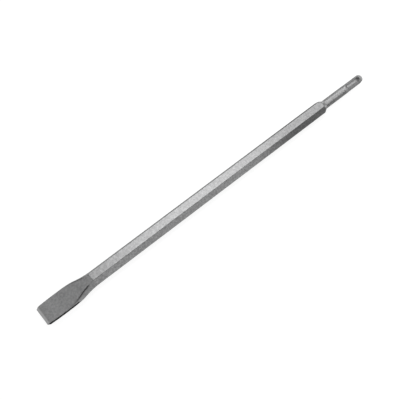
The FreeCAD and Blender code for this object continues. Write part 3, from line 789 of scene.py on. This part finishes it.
# each tone makes the steel under its mask brighter or darker by that share; most are painted shade,
# and the tip's and neck's is a painted highlight
steelFinishes = {
    "forgedSteel": {  # the pressed blade, blasted after forging
        "base": (0.308, 0.309, 0.311), "rubbedAndHighlighted": (0.40, 0.40, 0.40), "rough": 0.40, "wornRough": 0.34,
        "grainSize": 1300.0, "cloudSize": 260.0, "grain": 1.25, "cloud": 0.9, "pits": 0.8,
        "lineSize": 700.0, "lineWay": (0.05, 1, 1), "lines": 0.35,
        "cornerBrightAmount": 0.6, "breakUp": 0.8, "bump": 0.25, "bumpDepth": 0.00004, "glance": 0.5,
        "flankMottle": 0.4,
        "tones": {"sideShadeMask": -0.92, "foldShadeMask": -0.85, "darkTowardEdgeMask": -0.13, "pressMask": -0.12},
    },
    "barSteel": {  # the drawn hexagon
        "base": (0.365, 0.366, 0.368), "rubbedAndHighlighted": (0.52, 0.52, 0.52), "rough": 0.36, "wornRough": 0.3,
        "grainSize": 1300.0, "cloudSize": 240.0, "grain": 1.55, "cloud": 0.85, "pits": 0.6,
        "lineSize": 1100.0, "lineWay": (0.012, 1, 1), "lines": 0.5,
        "cornerBrightAmount": 0.8, "breakUp": 0.7, "bump": 0.12,
        "flankShade": -0.19, "shankEndShadeFlankTone": -0.38,
        "tones": {"shankEndShadeMask": -0.1},
    },
    "turnedSteel": {  # shoulder, neck and shank, off the lathe
        "base": (0.39, 0.391, 0.393), "rubbedAndHighlighted": (0.46, 0.46, 0.46), "rough": 0.40, "wornRough": 0.34,
        "grainSize": 1500.0, "cloudSize": 220.0, "grain": 1.9, "cloud": 1.0, "pits": 0.4,
        "lineSize": 2200.0, "lineWay": (1, 0.04, 0.04), "lines": 1.3,
        "cornerBrightAmount": 0.6, "breakUp": 0.4, "bump": 0.12,
        "flankShade": -0.47,
        "tones": {"grooveShadeMask": -0.1, "grooveEndShadeMask": -0.6, "keywayShadeMask": -0.25, "tipNeckHighlightMask": 0.65},
    },
    "groundSteel": {  # the bevels at the cutting edge, ground across
        "base": (0.345, 0.346, 0.348), "rubbedAndHighlighted": (0.44, 0.44, 0.44), "rough": 0.34, "wornRough": 0.27,
        "grainSize": 1500.0, "cloudSize": 150.0, "grain": 0.5, "cloud": 0.6, "pits": 0.2,
        "lineSize": 1800.0, "lineWay": (1, 0.06, 1), "lines": 0.9,
        "cornerBrightAmount": 0.8, "breakUp": 0.6, "bump": 0.15,
        "tones": {"sideShadeMask": -0.5},
    },
}


def makeSteelFinish(name, settings, effects):
    material = bpy.data.materials.new(name)
    material.use_nodes = True
    tree = material.node_tree
    shader = tree.nodes["Principled BSDF"]
    glance = settings["glance"]
    shader.inputs["Metallic"].default_value = 1
    shader.inputs["Specular Tint"].default_value = (glance, glance, glance, 1)
    place = Field(tree, tree.nodes.new("ShaderNodeTexCoord").outputs["Object"])

    def addEffect(kind, values):
        node = tree.nodes.new("ShaderNodeGroup")
        node.node_tree = effects[kind]
        for socketName, value in values.items():
            feed(tree, value, node.inputs[socketName])
        return {output.name: Field(tree, output) for output in node.outputs}

    def readMask(maskName):
        reader = tree.nodes.new("ShaderNodeAttribute")
        reader.attribute_name = maskName
        return Field(tree, reader.outputs["Fac"]).bounded()

    grain = addEffect("blastedGrain", {
        "Place": place,
        "Grain Per Metre": settings["grainSize"],
        "Cloud Per Metre": settings["cloudSize"],
        "Grain": settings["grain"],
        "Cloud": settings["cloud"],
        "Pits": settings["pits"],
    })
    stretch = tree.nodes.new("ShaderNodeMapping")
    stretch.inputs["Scale"].default_value = settings["lineWay"]
    feed(tree, place, stretch.inputs["Vector"])
    lines = addEffect("toolLines", {
        "Place": Field(tree, stretch.outputs["Vector"]),
        "Lines Per Metre": settings["lineSize"],
        "Strength": settings["lines"],
    })
    rubbedAndHighlighted = addEffect("edgeWearAndHighlight", {
        "Place": place,
        "Corner": readMask("cornerWearAndHighlightMask"),
        "Break Up": settings["breakUp"],
        "Amount": settings["cornerBrightAmount"],
    })["Mask"]

    # painted shade on the flanks, deeper towards the shank end
    onFlank = readMask("flankShadeMask")
    flankShade = settings["flankShade"] + readMask("shankEndShadeMask") * settings["shankEndShadeFlankTone"]
    tone = 1 + onFlank * flankShade
    # most of these tones are painted shade, and one is a painted highlight on the tip and neck
    for maskName, share in settings["tones"].items():
        tone = tone * (1 + readMask(maskName) * share)
    mottle = (grain["Shade"] - 1) * (1 + onFlank * settings["flankMottle"])
    shade = (1 + mottle) * lines["Shade"] * tone

    # the corners' brighter colour: part rubbed wear, part painted highlight
    blend = tree.nodes.new("ShaderNodeMix")
    blend.data_type = "RGBA"
    blend.inputs["A"].default_value = (*settings["base"], 1)
    blend.inputs["B"].default_value = (*settings["rubbedAndHighlighted"], 1)
    feed(tree, rubbedAndHighlighted, blend.inputs[0])
    tint = tree.nodes.new("ShaderNodeVectorMath")
    tint.operation = "SCALE"
    tree.links.new(blend.outputs["Result"], tint.inputs[0])
    feed(tree, shade, tint.inputs["Scale"])
    tree.links.new(tint.outputs["Vector"], shader.inputs["Base Color"])

    smoothest, roughest = settings["roughnessRange"]
    wornChange = settings["wornRough"] - settings["rough"]
    roughness = (settings["rough"] + rubbedAndHighlighted * wornChange + grain["Roughness"] + lines["Roughness"]
                 + (1 - tone) * settings["dullRoughness"])
    feed(tree, roughness.most(smoothest).least(roughest), shader.inputs["Roughness"])

    bump = tree.nodes.new("ShaderNodeBump")
    bump.inputs["Strength"].default_value = settings["bump"]
    bump.inputs["Distance"].default_value = settings["bumpDepth"]
    feed(tree, grain["Height"] + lines["Height"], bump.inputs["Height"])
    tree.links.new(bump.outputs["Normal"], shader.inputs["Normal"])
    return material


cameraSettings = {
    "target": (-0.0245, -0.00122, 0.00662),
    "azimuth": -40.3,
    "elevation": 62.7,
    "distance": 0.6475,
    "lens": 55.9,
    "sensor": 36.0,
    "clip": (0.01, 30.0),
}


def makeCamera(settings):
    azimuth = math.radians(settings["azimuth"])
    elevation = math.radians(settings["elevation"])
    back = Vector((math.sin(azimuth) * math.cos(elevation),
                   -math.cos(azimuth) * math.cos(elevation),
                   math.sin(elevation)))
    data = bpy.data.cameras.new("photoCamera")
    data.lens = settings["lens"]
    data.sensor_width = settings["sensor"]
    data.clip_start, data.clip_end = settings["clip"]
    camera = bpy.data.objects.new("photoCamera", data)
    camera.location = Vector(settings["target"]) + back * settings["distance"]
    camera.rotation_mode = "QUATERNION"
    camera.rotation_quaternion = (-back).to_track_quat("-Z", "Y")
    scene.collection.objects.link(camera)
    scene.camera = camera


studioSettings = {
    "skyLevel": 0.48,  # the plain part of the soft surrounding light
    "skyLean": (-0.44, 0.30, -0.11),  # how it brightens towards each axis
    "skyLeast": 0.36,
    "softbox": {"place": (0.29, 0.44, 1.1), "size": (0.62, 0.84), "radiance": 1.83},
    "farSoftbox": {"place": (1.02, -0.2, 1.1), "size": (0.8, 3.0), "radiance": 1.12},
    "floorSize": 24.0,
    "floorGlow": 0.865,  # the share of the floor's white that no shadow takes away
    "floorColour": 0.27,
    "floorRoughness": 0.9,
}


def makeSky(settings):
    world = scene.world or bpy.data.worlds.new("studio")
    scene.world = world
    world.use_nodes = True
    tree = world.node_tree
    background = tree.nodes["Background"]
    background.inputs["Color"].default_value = (1, 1, 1, 1)
    direction = tree.nodes.new("ShaderNodeTexCoord").outputs["Generated"]
    lean = tree.nodes.new("ShaderNodeVectorMath")
    lean.operation = "DOT_PRODUCT"
    tree.links.new(direction, lean.inputs[0])
    lean.inputs[1].default_value = settings["skyLean"]
    level = Field(tree, lean.outputs["Value"]) + settings["skyLevel"]
    feed(tree, level.most(settings["skyLeast"]), background.inputs["Strength"])


def makeLamp(name, settings):
    # it hangs level and faces down; its power is its area times pi times its radiance
    width, depth = settings["size"]
    data = bpy.data.lights.new(name, "AREA")
    data.shape = "RECTANGLE"
    data.size = width
    data.size_y = depth
    data.energy = settings["radiance"] * math.pi * width * depth
    lamp = bpy.data.objects.new(name, data)
    lamp.location = settings["place"]
    scene.collection.objects.link(lamp)


def makeFloor(settings):
    half = settings["floorSize"] / 2
    corners = [(-half, -half, 0), (half, -half, 0), (half, half, 0), (-half, half, 0)]
    mesh = bpy.data.meshes.new("studioFloor")
    mesh.from_pydata(corners, [], [(0, 1, 2, 3)])
    floor = bpy.data.objects.new("studioFloor", mesh)
    scene.collection.objects.link(floor)
    material = bpy.data.materials.new("floorPaper")
    material.use_nodes = True
    tree = material.node_tree
    shader = tree.nodes["Principled BSDF"]
    grey = settings["floorColour"]
    shader.inputs["Base Color"].default_value = (grey, grey, grey, 1)
    shader.inputs["Roughness"].default_value = settings["floorRoughness"]
    shader.inputs["Specular IOR Level"].default_value = 0
    shader.inputs["Emission Color"].default_value = (1, 1, 1, 1)
    rays = tree.nodes.new("ShaderNodeLightPath")
    seen = Field(tree, rays.outputs["Is Camera Ray"]).most(Field(tree, rays.outputs["Is Glossy Ray"]))
    seen = seen.most(Field(tree, rays.outputs["Is Transmission Ray"]))
    feed(tree, seen * settings["floorGlow"], shader.inputs["Emission Strength"])
    mesh.materials.append(material)


makeCamera(cameraSettings)
makeSky(studioSettings)
makeLamp("softbox", studioSettings["softbox"])
makeLamp("farSoftbox", studioSettings["farSoftbox"])
makeFloor(studioSettings)
scene.view_settings.view_transform = "Standard"
print("studio: camera, sky, two soft lamps and the floor")

effects = {
    "blastedGrain": makeBlastedGrain(blastedGrainShares),
    "toolLines": makeToolLines(toolLineShares),
    "edgeWearAndHighlight": makeEdgeWearAndHighlight(edgeWearAndHighlightShares),
}
steels = {}
for name, settings in steelFinishes.items():
    steels[name] = makeSteelFinish(name, {**plainSteel, **settings}, effects)
print("finishes:", ", ".join(steels))
makeChisel(chiselSettings, {
    "forgedFinish": steels["forgedSteel"],
    "barFinish": steels["barSteel"],
    "turnedFinish": steels["turnedSteel"],
    "groundFinish": steels["groundSteel"],
})
